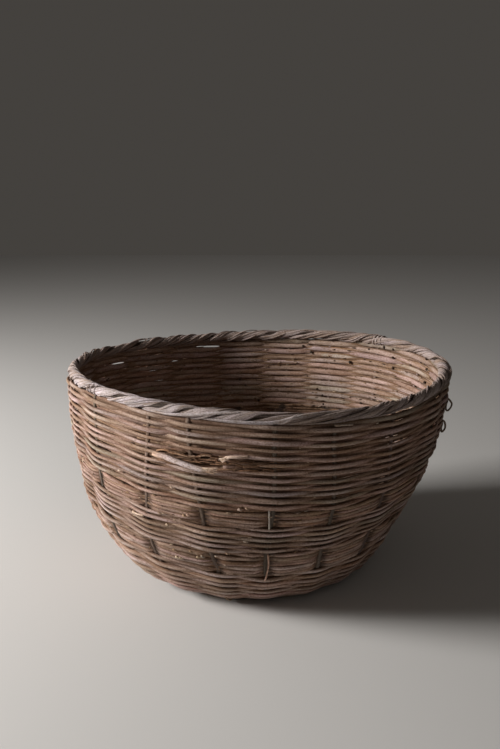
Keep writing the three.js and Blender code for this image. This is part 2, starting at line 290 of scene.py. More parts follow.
class Piece:
    """Collects rods into one mesh with grain, tone and crevice attributes; crevice is painted shade."""

    def __init__(self):
        self.verts, self.faces, self.sizes = [], [], []
        self.grain, self.tone, self.crev = [], [], []
        self.count = 0

    def loft(self, rings, grain, tone, crevice, closed=False, tips=None, end_tone=None):
        """Skin over rings of points that turn counter-clockwise about the way along."""
        n, m = rings.shape[:2]
        i = np.arange(n if closed else n - 1)[:, None]
        j = np.arange(m)[None]
        i2, j2 = (i + 1) % n, (j + 1) % m
        quads = np.stack([i * m + j, i * m + j2, i2 * m + j2, i2 * m + j], axis=-1)
        self.faces.append(quads.reshape(-1) + self.count)
        self.sizes.append(np.full(quads.shape[0] * m, 4))
        self.verts.append(rings.reshape(-1, 3))
        self.grain.append(grain.reshape(-1, 3))
        self.tone.append(tone.reshape(-1, 3))
        self.crev.append(crevice.reshape(-1))
        base = self.count
        self.count += n * m
        if tips is None:
            return
        for ring, tip in ((0, tips[0]), (n - 1, tips[1])):
            self.verts.append(tip[None])
            self.grain.append(grain[ring].mean(0)[None])
            self.tone.append(np.asarray(tone[ring, 0] if end_tone is None else end_tone, float)[None])
            self.crev.append(np.zeros(1))
            a = base + ring * m + np.arange(m)
            b = base + ring * m + (np.arange(m) + 1) % m
            c = np.full(m, self.count)
            tri = np.stack([b, a, c] if ring == 0 else [a, b, c], axis=-1)
            self.faces.append(tri.reshape(-1))
            self.sizes.append(np.full(m, 3))
            self.count += 1

    def tube(self, path, radius, tone, out=None, sides=10, flat=1.0, crevice=0.0,
             rough=0.05, closed=False, end_tone=None):
        """A rod along the path; flat squeezes it along its out direction. Crevice is painted shade, and also
        where crumbs of dirt show.
        """
        n = len(path)
        radius = np.broadcast_to(np.asarray(radius, float), (n,))
        flat = np.broadcast_to(np.asarray(flat, float), (n,))[:, None]
        if closed:
            t = unit(np.roll(path, -1, axis=0) - np.roll(path, 1, axis=0))
        else:
            t = unit(np.gradient(path, axis=0))
        if out is None:
            out = carried_frame(path)
        o = unit(out - np.sum(out * t, axis=1, keepdims=True) * t)
        u = np.cross(t, o)
        a = np.linspace(0, 2 * pi, sides, endpoint=False)
        along = walked(path)
        seed = rng.uniform(0, 500)
        p1, p2, p3 = rng.uniform(0, 6.28, 3)
        lump = 1 + rough * (sin(2 * a[None] + along[:, None] / 17 + p1)
                            + 0.6 * sin(3 * a[None] - along[:, None] / 9 + p2)
                            + 0.5 * sin(a[None] + along[:, None] / 5.3 + p3))
        ca, sa = cos(a)[None], sin(a)[None]
        rad = radius[:, None] * lump
        rings = path[:, None] + (rad * ca * flat)[..., None] * o[:, None] + (rad * sa)[..., None] * u[:, None]
        if callable(crevice):
            cv = crevice(ca, sa, rad * flat)
        else:
            cv = np.asarray(crevice, float).reshape(-1, 1)
        cv = np.broadcast_to(cv, (n, sides)).copy()
        tone = np.asarray(tone, float)
        tone = np.broadcast_to(tone if tone.ndim == 2 else tone[None], (n, 3))
        tn = np.broadcast_to(tone[:, None], (n, sides, 3)).copy()
        grain = np.stack([np.broadcast_to((along + seed)[:, None], (n, sides)),
                          ca * radius[:, None] + p1 * 5,
                          sa * radius[:, None] + p2 * 5], axis=-1)
        tips = None
        if not closed:
            tips = (path[0] - t[0] * radius[0] * 0.25, path[-1] + t[-1] * radius[-1] * 0.25)
        self.loft(rings, grain, tn, cv, closed, tips, end_tone)

    def build(self, name, skin, nodes=()):
        material, slot = skin
        v = np.concatenate(self.verts) * MM
        loops = np.concatenate(self.faces).astype(np.int32)
        sizes = np.concatenate(self.sizes).astype(np.int32)
        starts = np.concatenate([[0], np.cumsum(sizes)[:-1]]).astype(np.int32)
        me = bpy.data.meshes.new(name)
        me.vertices.add(len(v))
        me.vertices.foreach_set("co", v.reshape(-1).astype(np.float32))
        me.loops.add(len(loops))
        me.loops.foreach_set("vertex_index", loops)
        me.polygons.add(len(sizes))
        me.polygons.foreach_set("loop_start", starts)
        me.polygons.foreach_set("use_smooth", np.ones(len(sizes), dtype=bool))
        me.update(calc_edges=True)
        me.validate()
        tone = np.concatenate(self.tone)
        for key, kind, field, values in (
                ("grain", "FLOAT_VECTOR", "vector", np.concatenate(self.grain)),
                ("tone", "FLOAT_COLOR", "color", np.concatenate([tone, np.ones((len(tone), 1))], axis=1)),
                ("crevice", "FLOAT", "value", clamp(np.concatenate(self.crev)))):
            data = me.attributes.new(key, kind, "POINT").data
            data.foreach_set(field, values.reshape(-1).astype(np.float32))
        me.materials.append(material)
        ob = added(name, me)
        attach(ob, "root")
        if nodes:
            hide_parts(*nodes)
        return ob


def rod_material(name, deep, grain_dark, bump, rough):
    """Weathered bark with fibres, patches, flecks and grit; crumbs of dirt, and a deep tone painted as shade
    in crevices.
    """
    m = bpy.data.materials.new(name)
    m.use_nodes = True
    nt = m.node_tree
    nodes, links = nt.nodes, nt.links
    bsdf = nodes["Principled BSDF"]
    bsdf.inputs["Specular IOR Level"].default_value = 0.3

    def node(kind, **values):
        n = nodes.new(kind)
        for key, value in values.items():
            setattr(n, key, value)
        return n

    tone, grain, crev = (node("ShaderNodeAttribute", attribute_name=key)
                         for key in ("tone", "grain", "crevice"))

    def noise(along, across, detail, roughness, distortion=0.0):
        """Noise stretched along the rod."""
        n = node("ShaderNodeVectorMath", operation="MULTIPLY")
        links.new(grain.outputs["Vector"], n.inputs[0])
        n.inputs[1].default_value = (along, across, across)
        vector = n.outputs[0]
        n = node("ShaderNodeTexNoise")
        for key, value in (("Scale", 1.0), ("Detail", detail), ("Roughness", roughness),
                           ("Distortion", distortion)):
            n.inputs[key].default_value = value
        links.new(vector, n.inputs["Vector"])
        return n.outputs["Fac"]

    def ramp(value, stops):
        r = node("ShaderNodeValToRGB")
        links.new(value, r.inputs["Fac"])
        elements = r.color_ramp.elements
        elements.remove(elements[-1])
        for k, (at, shade) in enumerate(stops):
            e = elements.new(at) if k else elements[0]
            e.position = at
            e.color = (*shade, 1) if isinstance(shade, tuple) else (shade, shade, shade, 1)
        return r.outputs["Color"]

    def mix(kind, fac, a, b):
        n = node("ShaderNodeMix", data_type="RGBA", blend_type=kind)
        for number, value in ((0, fac), (6, a), (7, b)):
            if isinstance(value, float):
                n.inputs[number].default_value = value
            elif isinstance(value, tuple):
                n.inputs[number].default_value = (*value, 1)
            else:
                links.new(value, n.inputs[number])
        return n.outputs[2]

    fibres = noise(0.035, 1.1, 5, 0.62, 0.3)
    fine = noise(0.12, 4.5, 3, 0.6)
    patches = noise(0.022, 0.12, 4, 0.6, 0.5)
    flecks = noise(0.25, 0.9, 4, 0.7)
    dust = noise(0.6, 0.8, 5, 0.75)
    grit = noise(0.55, 1.1, 3, 0.65)

    colour = tone.outputs["Color"]
    for pattern, stops in (
            (fibres, [(0.3, grain_dark), (0.46, 0.92), (0.66, 1.12)]),
            (fine, [(0.3, 0.88), (0.6, 1.05)]),
            (patches, [(0.36, (0.80, 0.70, 0.60)), (0.5, 1.0), (0.64, (1.14, 1.13, 1.21))]),
            (flecks, [(0.30, (0.38, 0.29, 0.22)), (0.44, 1.0)]),
            (grit, [(0.36, (0.62, 0.53, 0.44)), (0.5, 1.0), (0.62, (1.22, 1.20, 1.18))])):
        colour = mix("MULTIPLY", 1.0, colour, ramp(pattern, stops))
    # Painted shade: the crevice value mixes the colour toward the darker, warmer deep tone.
    colour = mix("MIX", ramp(crev.outputs["Fac"], [(0.15, 0.0), (0.62, 0.6), (1.0, 0.9)]), colour,
                 mix("MULTIPLY", 1.0, colour, deep))
    crumbs = mix("MULTIPLY", 1.0, ramp(dust, [(0.60, 0.0), (0.68, 0.7)]),
                 ramp(crev.outputs["Fac"], [(0.25, 0.0), (0.6, 1.0)]))
    colour = mix("MIX", crumbs, colour, (0.30, 0.21, 0.13))
    links.new(colour, bsdf.inputs["Base Color"])

    r = ramp(fibres, [(0.3, min(rough + 0.1, 1.0)), (0.7, rough - 0.12)])
    links.new(r, bsdf.inputs["Roughness"])

    height = mix("MIX", 0.4, ramp(fibres, [(0.25, 0.0), (0.75, 1.0)]), ramp(fine, [(0.2, 0.0), (0.8, 1.0)]))
    b = node("ShaderNodeBump")
    b.inputs["Strength"].default_value = bump
    b.inputs["Distance"].default_value = 0.0007
    links.new(height, b.inputs["Height"])
    links.new(b.outputs["Normal"], bsdf.inputs["Normal"])
    return m


# Material and slot of each kind of piece
# Each material's deep tone is the colour of its painted crevice shade.
WEAVE_SKIN = (rod_material("weathered_weavers_painted_shade", (0.36, 0.215, 0.115), (0.66, 0.58, 0.50), 0.55, 0.82),
              "woven_rods")
STAKE_SKIN = rod_material("weathered_stakes_painted_shade", (0.42, 0.27, 0.16), 0.55, 0.9, 0.8), "stake_rods"
RIM_SKIN = rod_material("weathered_rim_painted_shade", (0.26, 0.17, 0.11), 0.55, 0.9, 0.78), "rim_strips"
SNAP_SKIN = rod_material("snapped_wood", (0.55, 0.33, 0.16), 0.68, 0.9, 0.8), "woven_rods"

TONES = np.array([
    (0.405, 0.303, 0.262), (0.46, 0.353, 0.322), (0.365, 0.27, 0.215), (0.50, 0.395, 0.368),
    (0.335, 0.237, 0.178), (0.435, 0.328, 0.268), (0.455, 0.372, 0.355), (0.43, 0.295, 0.24),
    (0.29, 0.205, 0.155), (0.375, 0.315, 0.255)])


def some_tone(vary=0.10):
    """One of the tones, mixed with a second one, lighter or darker by chance."""
    base = TONES[rng.integers(len(TONES))]
    other = TONES[rng.integers(len(TONES))]
    c = base * 0.78 + other * 0.22
    return c * (1 + rng.normal(0, vary)) * (1 + rng.normal(0, 0.015, 3))


def knotted(along, r0):
    """Radius along a rod: slow swell, and a knot every few centimetres."""
    p = rng.uniform(0, 6.28, 3)
    r = r0 * (1 + 0.05 * sin(along / 61 + p[0]) + 0.035 * sin(along / 23 + p[1]))
    at = rng.uniform(0, 60)
    while at < along[-1]:
        r = r * (1 + rng.uniform(0.05, 0.18) * exp(-((along - at) / 2.6) ** 2))
        at += rng.uniform(38, 95)
    return r


# Depth in the weave at which the painted shade on a rod's skin is darkest, from the outside and from the
# inside
OUTER_DEPTH = 6.6
INNER_DEPTH = 9.5


def weave_depth_shade(n_centre, reach):
    """Painted shade: how deep each point of a rod's skin lies in the weave, seen from its own side, and
    darker along its top and bottom next to the neighbouring rows.
    """
    def shade(ca, sa, rad):
        nv = n_centre[:, None] + rad * ca
        outer = clamp((reach - nv) / OUTER_DEPTH)
        inner = clamp((reach + nv) / INNER_DEPTH)
        weight = 0.5 + 0.5 * np.clip(ca * 1.4, -1, 1)
        depth = outer * weight + inner * (1 - weight)
        return np.maximum(depth, 0.8 * np.abs(sa) ** 4)
    return shade


PER_STEP = 20
EVERYWHERE = (0.0, 99.0)

# A row's part inside the stakes, as a share of its swing outside
INNER_SHARE = 0.48

# How far the rods of the open bands bow out between the stakes
BARE_BOW = 2.2

# Free ends of rods are tucked inwards and grow thin, over these parts of a stake's distance.
END_TUCK = 0.9
END_TUCK_OVER = 0.25
END_THIN = 0.35
END_THIN_OVER = 0.16

# The rods that snapped at the left front: the gap, in stakes, the rows concerned, and a hole
SNAP_FROM = 13.32
SNAP_TO = 14.40
SNAP_LOW = 336.5
SNAP_HIGH = 351.5
SNAP_HOLE = 14.14
HOLE_HALF = 0.16


class Row:
    """One woven rod's way round the wall. An open row is open over the span (middle, half), in stakes."""

    def __init__(self, s, r, kind, phase, tilt, drift, span=EVERYWHERE):
        self.s, self.r, self.kind, self.phase, self.tilt = s, r, kind, phase, tilt
        self.middle, self.half = span
        low_down = 0.7 + 0.3 * min(max((s - 160) / 60, 0), 1)
        self.amp = (STAKE_R * STAKE_FLAT + r * ROD_FLAT - 0.1) * low_down
        self.inner = INNER_SHARE * self.amp
        self.size = 1 + rng.normal(0, 0.06, STAKES)
        loose = 1.0 if kind == "woven" else 1.35
        self.lift = rng.normal(0, 0.55 * loose, STAKES)
        self.lift2 = rng.normal(0, 0.38 * loose, STAKES * 2)
        self.bulge = rng.normal(0, 0.55, STAKES * 3)
        self.ring = rng.normal(0, drift, 10)
        self.snapped = kind == "woven" and phase == 0 and SNAP_LOW < s < SNAP_HIGH

    def height(self, w):
        s = self.s + 0.8 * (wobble(w, self.lift) + wobble(w * 2, self.lift2)) + wobble(w / 2, self.ring)
        s = s + parted(w, self.s)
        if self.kind == "woven":
            s = s - self.tilt * sin(pi * w + self.phase)
        return s

    def openness(self, w):
        """One where the row keeps inside every stake, nought where it weaves."""
        if self.kind == "woven":
            return 0 * w
        away = np.abs(stakes_away(w, self.middle))
        return clamp((self.half - away) / 0.5 + 0.5)

    def swing(self, w):
        """How far outside or inside the middle line the rod runs."""
        x = pi * w + self.phase
        turn = (cos(x) + 0.09 * cos(3 * x)) / 1.09
        inside = -self.inner * np.tanh(-2.6 * turn) / math.tanh(2.6)
        woven = np.where(turn > 0, self.amp * turn * wobble(w, self.size), inside)
        back = (0.5 + 0.5 * cos(2 * pi * w)) ** 6
        straight = BARE_BOW - (self.inner + BARE_BOW) * back + wobble(w * 3, self.bulge) * (1 - back)
        g = self.openness(w)
        return woven * (1 - g) + straight * g

    def spans(self):
        """Where one rod ends and the next starts, in stakes, always behind a stake."""
        if self.snapped:
            return [(SNAP_TO, SNAP_FROM + STAKES)]
        start = rng.integers(0, STAKES)
        ends = [start, start + STAKES]
        if rng.random() < 0.55:
            ends.insert(1, start + rng.integers(7, 13))
        if self.kind == "woven":
            odd = 1 if self.phase == 0 else 0
            ends = [e + (e + odd) % 2 for e in ends]
        return [(a - rng.uniform(0.13, 0.26), b + rng.uniform(0.13, 0.3)) for a, b in zip(ends, ends[1:])]

    def add(self, piece):
        for a, b in self.spans():
            w = np.arange(a, b, 1 / PER_STEP)
            s = self.height(w)
            n = self.swing(w)
            phi = angle_of(w, s)
            s = s + row_drift(phi, self.s)
            taper = np.linspace(1.08, 0.92, len(w))
            if rng.random() < 0.5:
                taper = taper[::-1]
            if not self.snapped:
                run = np.minimum(w - w[0], w[-1] - w)
                n = n - END_TUCK * clamp(1 - run / END_TUCK_OVER) ** 1.5
                taper = taper * clamp(END_THIN + (1 - END_THIN) * run / END_THIN_OVER)
            path = place(phi, s, n)
            along = walked(path)
            back = clamp(-n / self.inner)
            fill = spread(phi, self.s) * (1 + 0.45 * back)
            open_here = self.openness(w)[:, None]
            tone, drift = some_tone(), some_tone(0.06)
            mixw = (0.5 + 0.5 * sin(along / rng.uniform(150, 320) + rng.uniform(0, 6)))[:, None]
            tones = tone * (1 - 0.5 * mixw) + drift * 0.5 * mixw
            # Open-band rods are darkened just beside each stake: a painted shadow of the stake.
            stake_shadow = exp(-((w - np.round(w) - 0.03) / 0.11) ** 4)[:, None]
            blotch = 1 + 0.16 * open_here * ragged(w, 5, 1)[:, None]
            tones = tones * blotch * (1 - open_here * (0.07, 0.13, 0.19)) * (1 - 0.75 * open_here * stake_shadow)
            # Rows at the snapped rod's height are darkened round the hole: a painted shadow inside the hole.
            if SNAP_LOW < self.s < SNAP_HIGH:
                deep = exp(-(stakes_away(w, SNAP_HOLE) / 0.17) ** 4)
                tones = tones * (1 - 0.88 * deep[:, None])
            piece.tube(path, knotted(along, self.r) * taper * fill, tones,
                       out=outward(phi, s), flat=ROD_FLAT / fill,
                       crevice=weave_depth_shade(n, self.amp + self.r * ROD_FLAT), rough=0.035,
                       end_tone=(0.42, 0.33, 0.24))


PACKING = np.array([0.37, 0.265, 0.185])
PACKING_R = 1.65
PACKING_R_OPEN = 1.9
CRUMBS = np.array([(0.40, 0.30, 0.21), (0.30, 0.20, 0.12), (0.14, 0.09, 0.055), (0.46, 0.37, 0.29),
                   (0.10, 0.065, 0.045)])

# Depths at which crumbs lie: outside on an open band, outside elsewhere, and inside
CRUMBS_BARE = (2.4, 3.9)
CRUMBS_OUT = (-0.2, 1.8)
CRUMBS_IN = (-3.4, -2.7)

# Part of the wall, in stakes, where holes are left in the packing: the left front
HOLES_FROM = 11
HOLES_TO = 17.5


def add_packing(piece, below, above):
    """Old dirt and bark fibre between two neighbouring rows, with a few holes left open."""
    level = 0.5 * (below.s + above.s)
    w = np.arange(0, STAKES, 1 / 11)
    s = 0.5 * (below.height(w) + above.height(w)) + ragged(w, 3, 0.22)
    opened = below.kind == "open" or above.kind == "open"
    both = below.openness(w) * above.openness(w)
    full = both * (1 - (0.5 + 0.5 * cos(2 * pi * w)) ** 5)
    n = -0.9 + ragged(w, 4, 0.3) + full * (2.0 + ragged(w, 6, 0.7))
    phi = angle_of(w, s)
    s = s + row_drift(phi, level)
    r = (PACKING_R_OPEN if opened else PACKING_R) * (1 + ragged(w, 5, 0.14)) * spread(phi, below.s)
    path = place(phi, s, n)
    edges = [0.0]
    for h in np.sort(rng.uniform(0, STAKES, rng.integers(2, 5))):
        wide = rng.uniform(0.12, 0.3)
        if HOLES_FROM < h < HOLES_TO:
            edges += [h, h + wide]
    if SNAP_LOW < level < SNAP_HIGH:
        edges = [0.0, SNAP_HOLE - HOLE_HALF, SNAP_HOLE + HOLE_HALF]
    for at, s_slot, height, half in SLOTS:
        if below.s < s_slot < above.s:
            if len(edges) > 3:
                edges = [0.0]
            edges += [at - 1.2 * half, at + 1.2 * half]
    edges = sorted(edges) + [float(STAKES)]
    tone = PACKING * (1 + rng.normal(0, 0.08))
    for a, b in zip(edges[::2], edges[1::2]):
        part = (w >= a) & (w <= b)
        if part.sum() < 5:
            continue
        speckle = 1 + ragged(w[part], 7, 0.10)[:, None]
        piece.tube(path[part], r[part], tone * speckle, out=outward(phi[part], s[part]),
                   sides=6, flat=0.75, crevice=0.55, rough=0.16)
    for k in range(rng.integers(55, 80) if opened else rng.integers(40, 60)):
        at = rng.uniform(0, STAKES - 0.1)
        step = rng.uniform(0.008, 0.03)
        q = at + step * np.arange(4)
        outside = CRUMBS_BARE if opened else CRUMBS_OUT
        depth = rng.uniform(*(outside if rng.random() < 0.45 else CRUMBS_IN))
        line = 0.5 * (below.height(q) + above.height(q)) + rng.uniform(-1.6, 1.6)
        around = angle_of(q, line)
        line = line + row_drift(around, level)
        line = line + rng.uniform(-1.2, 1.2) * np.linspace(0, 1, 4)
        colour = CRUMBS[rng.integers(len(CRUMBS))] * rng.uniform(0.75, 1.2)
        path = place(around, line, depth + rng.normal(0, 0.25, 4))
        piece.tube(path, rng.uniform(0.35, 0.95) * np.array([0.6, 1, 0.9, 0.5]), colour,
                   sides=5, rough=0.25, crevice=0.1)


def band(z_low, z_high, count, kind):
    """Rows of one band, evenly spaced up the outer face, as (s, pitch, kind)."""
    low = float(np.interp(z_low, OUT_Z, OUT_WALK))
    high = float(np.interp(z_high, OUT_Z, OUT_WALK))
    pitch = (high - low) / count
    at = low + pitch * (np.arange(count) + 0.5)
    return [(float(np.interp(v, OUT_WALK, S)), pitch, kind) for v in at]


# The bands from the ground up: heights in the photo, number of rows and kind
plan = band(1.0, 53.5, 15, "woven")
plan += band(53.5, 85.5, 7, "open")
plan += band(85.5, 122.5, 10, "woven")
plan += band(122.5, 145.0, 5, "open")
plan += band(145.0, 238.5, 23, "woven")

# Rows at the edges of the two open bands keep inside the stakes only along part of the way.
OPEN_SPAN = {15: (15.6, 2.0), 20: (18.0, 5.4), 21: (16.1, 1.5), 36: (12.4, 1.1)}

# Radius of a rod as a share of the rows' pitch, and how much it varies from row to row
ROD_SHARE = {"woven": (0.555, 0.09), "open": (0.50, 0.08)}

rows = []
for number, (s_row, pitch, kind) in enumerate(plan):
    share, vary = ROD_SHARE[kind]
    r0 = share * pitch * (1 + rng.normal(0, vary))
    rows.append(Row(s_row, r0, kind, pi * (number % 2), 0.6, 0.3, OPEN_SPAN.get(number, EVERYWHERE)))

# The frame's wall courses, in pairs, give way to the rows that lie at their height
COURSES = 20
COURSE_START = BASE_R + 1.2
COURSE_END = S_TOP - 6.64 - 0.3
course_pitch = (COURSE_END - COURSE_START + 0.5) / COURSES
groups = {}
for number, row in enumerate(rows):
    s_mean = row.s + SAG * float(sag_bump(np.array(row.s)))
    pair = int(np.clip((s_mean - COURSE_START) / (2 * course_pitch), 0, COURSES // 2 - 1))
    groups.setdefault(pair, []).append(number)

for pair in range(COURSES // 2):
    piece = Piece()
    for number in groups[pair]:
        rows[number].add(piece)
        if number + 1 < len(rows):
            add_packing(piece, rows[number], rows[number + 1])
    names = [f"wall_course_{2 * pair + k:02d}" for k in (1, 2)]
    piece.build(f"woven_rows_{pair + 1:02d}", WEAVE_SKIN, names)

# Base: four courses of five rods, the binding of the cross, and the rods it stands on
BASE_FIRST = 49.5
BASE_LAST = 119.5
BASE_ROWS = 20
BASE_COURSES = 4
BASE_ROD_R = 1.95
base_pitch = (BASE_LAST - BASE_FIRST) / BASE_ROWS
for course in range(BASE_COURSES):
    piece = Piece()
    for k in range(BASE_ROWS // BASE_COURSES):
        number = course * (BASE_ROWS // BASE_COURSES) + k
        s_row = BASE_FIRST + (number + 0.5) * base_pitch
        Row(s_row, BASE_ROD_R, "woven", pi * (number % 2), 0.3, 0.15).add(piece)
    piece.build(f"base_rows_{course + 1:02d}", WEAVE_SKIN, [f"base_course_{course + 1:02d}"])

BINDING_ROUNDS = 5
BINDING_R = 29.5
BINDING_PITCH = 3.3
BINDING_ROD_R = 1.6
BINDING_SWING = 2.35
binding = Piece()
for k in range(BINDING_ROUNDS):
    w = np.arange(0, STAKES, 1 / 16)
    radius = BINDING_R + k * BINDING_PITCH
    n = -BINDING_SWING * np.clip(cos(4 * pi * w / STAKES) * 4, -1, 1)
    s = radius + 0.4 * sin(2 * pi * w / STAKES * 4 + k)
    phi = FIRST + STEP * w
    binding.tube(place(phi, s, n), BINDING_ROD_R + 0.1 * sin(2 * pi * w / STAKES * 5 + k), some_tone(),
                 out=outward(phi, s), sides=8, crevice=0.25, rough=0.03, closed=True)
binding.build("base_binding_rods", WEAVE_SKIN, ["base_binding"])

FOOT_R = 123.6
FOOT_Z = 3.35
FOOT_ROD_R = 2.45
foot = Piece()
for strand in range(2):
    w = np.arange(0, STAKES, 1 / PER_STEP)
    x = pi * w + pi * strand
    phi = angle_of(w, np.full(len(w), BASE_R))
    path = settle(phi, FOOT_R + 2.3 * cos(x), FOOT_Z + 0.75 * sin(x))
    a = np.radians(phi)
    foot.tube(path, FOOT_ROD_R * (1 + 0.05 * sin(pi * w / 2 + strand)), some_tone(),
              out=np.stack([cos(a), sin(a), 0 * a], axis=-1), crevice=0.3, rough=0.03, closed=True)

# One more rod, with packing on both sides, fills the corner where base and wall meet.
corner = [Row(120.6, 2.0, "woven", pi, 0.3, 0.1), Row(125.6, 2.5, "woven", 0.0, 0.3, 0.1), rows[0]]
for below, above in zip(corner, corner[1:]):
    if above is not rows[0]:
        above.add(foot)
    add_packing(foot, below, above)
foot.build("base_edge_rods", WEAVE_SKIN, ["base_edge_rod"])

# Stakes: ten long rods, laid as a cross of two times five, each climbing the wall at both ends
LONG_RODS = 10
CROSS_PITCH = 5.0
CROSS_HALF = CROSS_PITCH * 2.5 + 1.5
DROP = 2.4

# Where the rods fan out from the cross: s, and share of the drop that is left
FAN_OUT = ((27.0, 0.8), (38.0, 0.95), (45.0, 0.6))


def stake_half(arm, order, drop, w_index):
    """One half of a long rod: its points in the base, and those up the wall."""
    a = math.radians(arm)
    across = order * CROSS_PITCH
    pts = []
    for d in (0.0, CROSS_HALF * 0.5, CROSS_HALF):
        x = d * math.cos(a) - across * math.sin(a)
        y = d * math.sin(a) + across * math.cos(a)
        pts.append(np.array([x, y, BASE_Z - drop]) + SHIFT)
    for s, part in FAN_OUT:
        fan = arm + order * STEP * clamp((s - 12) / 34)
        pts.append(place(np.array(fan), np.array(s), np.array(drop * part)))
    s = np.arange(54.0, S_TOP - 2.5, 4.0)
    n = 0.35 * sin(s / 13 + rng.uniform(0, 6)) * clamp((s - 60) / 40)
    return np.array(pts), place(angle_of(np.full(len(s), float(w_index)), s), s, n)


# Painted shade on the stakes: a little all over, most on their sides.
def stake_side_shade(ca, sa, rad):
    return 0.3 + 0.4 * np.abs(sa) ** 3 + 0 * rad


for i in range(LONG_RODS):
    lower = i < LONG_RODS // 2
    order = i % (LONG_RODS // 2) - 2
    arm = FIRST + (0 if lower else 90)
    drop = DROP if lower else -DROP
    w_near = (0 if lower else 5) + order
    w_far = w_near + 10 - 2 * order
    near, near_wall = stake_half(arm, order, drop, w_near % STAKES)
    far, far_wall = stake_half(arm + 180, -order, drop, w_far % STAKES)
    path = resample(np.concatenate([far_wall[::-1], far[::-1], near[1:], near_wall]), 2.5)
    radius = knotted(walked(path), STAKE_R) * np.linspace(1.06, 0.94, len(path))
    centre = np.array([SHIFT[0], SHIFT[1], 120.0])
    # Stakes are darker below about 140 mm and lighter above.
    upper_share = clamp((path[:, 2] - 140) / 30)[:, None]
    tones = some_tone(0.06) * (0.37 + 0.3 * upper_share)
    piece = Piece()
    piece.tube(path, radius, tones, out=unit((path - centre) * (1, 1, 0.8)),
               flat=STAKE_FLAT, crevice=stake_side_shade, rough=0.04)
    piece.build(f"stake_rod_{i + 1:02d}", STAKE_SKIN, [f"long_rod_{i + 1:02d}"])

# Rim: a core of thin rods, two broad strips twisted round it, and loose strips over them
RIM_STEPS = 1440
ACROSS = 27
RIM_START = -158.4
HALF_TWISTS = 30.0
CORE_R = 3.5
CORE_RHO = 3.7
CORE_ROD_R = 1.25
CORE_TURNS = (2, 3, 2, 4, 3, 2, 3, 4, 2)
STRAND_RHO = 5.2
STRAND_THICK = 1.3
STRAND_HALF_WIDTH = 8.2
GROOVES = (-0.72, -0.42, -0.12, 0.2, 0.5, 0.78)
LOOSE_STRIPS = 44
RAGGED_STRIPS = 16


def ring_wave(phi, count, size):
    """Smooth noise that closes round the ring."""
    a = np.radians(phi)
    total = 0 * a
    for k in range(1, count + 1):
        total = total + rng.normal(0, size / k ** 0.5) * cos(k * a + rng.uniform(0, 6.28))
    return total


def rim_line(phi):
    return place(phi, np.full(len(phi), S_TOP), np.zeros(len(phi)))


def rim_way(phi, psi):
    """Direction out of the rim's middle: psi 0 is outward, 90 up, 180 inward."""
    a, q = np.radians(phi), np.radians(psi)
    return np.stack([cos(q) * cos(a), cos(q) * sin(a), sin(q)], axis=-1)


def rim_rod(piece, phi, psi, rho, radius, tone, **more):
    way = rim_way(phi, psi)
    piece.tube(rim_line(phi) + np.asarray(rho).reshape(-1, 1) * way, radius, tone, out=way, **more)


# Where the two strips cross, as angle round the rim and number of half twists
CROSSINGS = np.array([
    (RIM_START, 0.19), (-144.6, 1.19), (-131.3, 2.19), (-116.0, 3.19), (-109.1, 4.19), (-99.6, 5.19),
    (-89.7, 6.19), (-66.0, 6.95), (-57.0, 7.75), (-44.9, 9.1), (-34.0, 10.19), (-22.0, 11.19),
    (-11.0, 12.19), (0.0, 13.1), (7.6, 13.69), (18.0, 14.69), (28.1, 15.69), (43.2, 16.69),
    (53.0, 17.69), (70.2, 18.69), (84.2, 19.69), (96.8, 20.69), (106.5, 21.69), (116.0, 22.69),
    (126.1, 23.69), (136.2, 24.69), (150.1, 25.69), (163.0, 26.69), (176.0, 27.69), (189.0, 28.95),
    (201.6, 30.19)])

# Gaps left open between the strips, as angle round the rim and share of the strip's width
GAPS = ((-144.6, 0.12), (-131.3, 0.30), (-116.0, 0.40), (-109.1, 0.16), (-99.6, 0.2), (-89.7, 0.24),
        (-80.0, 0.22), (-74.0, 0.30), (-67.0, 0.22), (-44.9, 0.18), (-22.0, 0.15), (7.6, 0.34), (28.1, 0.16),
        (53.0, 0.26), (70.2, 0.32), (84.2, 0.36), (96.8, 0.12), (106.5, 0.22), (126.1, 0.12),
        (136.2, 0.3), (150.1, 0.2), (176.0, 0.2))

rim_phi = RIM_START + np.arange(RIM_STEPS) * 360 / RIM_STEPS
half_twists = np.interp(rim_phi, CROSSINGS[:, 0], CROSSINGS[:, 1])
slope = np.diff(np.append(half_twists, CROSSINGS[-1, 1]))
slope = smoothed(slope, 21, "wrap")
half_twists = CROSSINGS[0, 1] + np.concatenate([[0], np.cumsum(slope)[:-1]])

gap_share = np.full(RIM_STEPS, 0.035) + 0.02 * np.clip(ring_wave(rim_phi, 12, 0.5), -1, 1)
for at, share in GAPS:
    gap_share = gap_share + share * exp(-(degrees_away(rim_phi, at) / 2.4) ** 2)
gap_share = np.clip(gap_share, 0.01, 0.6)

# The rim is thickest at the right edge of the photo.
swell = ring_wave(rim_phi, 16, 0.12) + 3.0 * exp(-(degrees_away(rim_phi, -4) / 8.0) ** 2)


def rim_pale(phi):
    """The rim is palest at the left front."""
    away = np.clip(degrees_away(phi, -140), -60, 60)
    return np.reshape(0.5 + 0.5 * cos(np.radians(away * 3)), (-1, 1))


# The core and its rods are painted very dark: painted shade seen through the gaps between the strips.
core = Piece()
rim_rod(core, rim_phi, 90 + 0 * rim_phi, 0 * rim_phi, CORE_R, (0.07, 0.05, 0.035), crevice=0.7, closed=True)
for k, turns in enumerate(CORE_TURNS):
    psi = k * 40 + turns * rim_phi + ring_wave(rim_phi, 8, 6)
    rim_rod(core, rim_phi, psi, CORE_RHO + 0.3 * np.clip(ring_wave(rim_phi, 10, 0.4), -1, 1),
            CORE_ROD_R + 0.1 * np.clip(ring_wave(rim_phi, 14, 0.5), -1, 1), some_tone() * 0.3,
            sides=7, crevice=0.7, closed=True)
core.build("rim_core", RIM_SKIN, ["rim_hoop"])

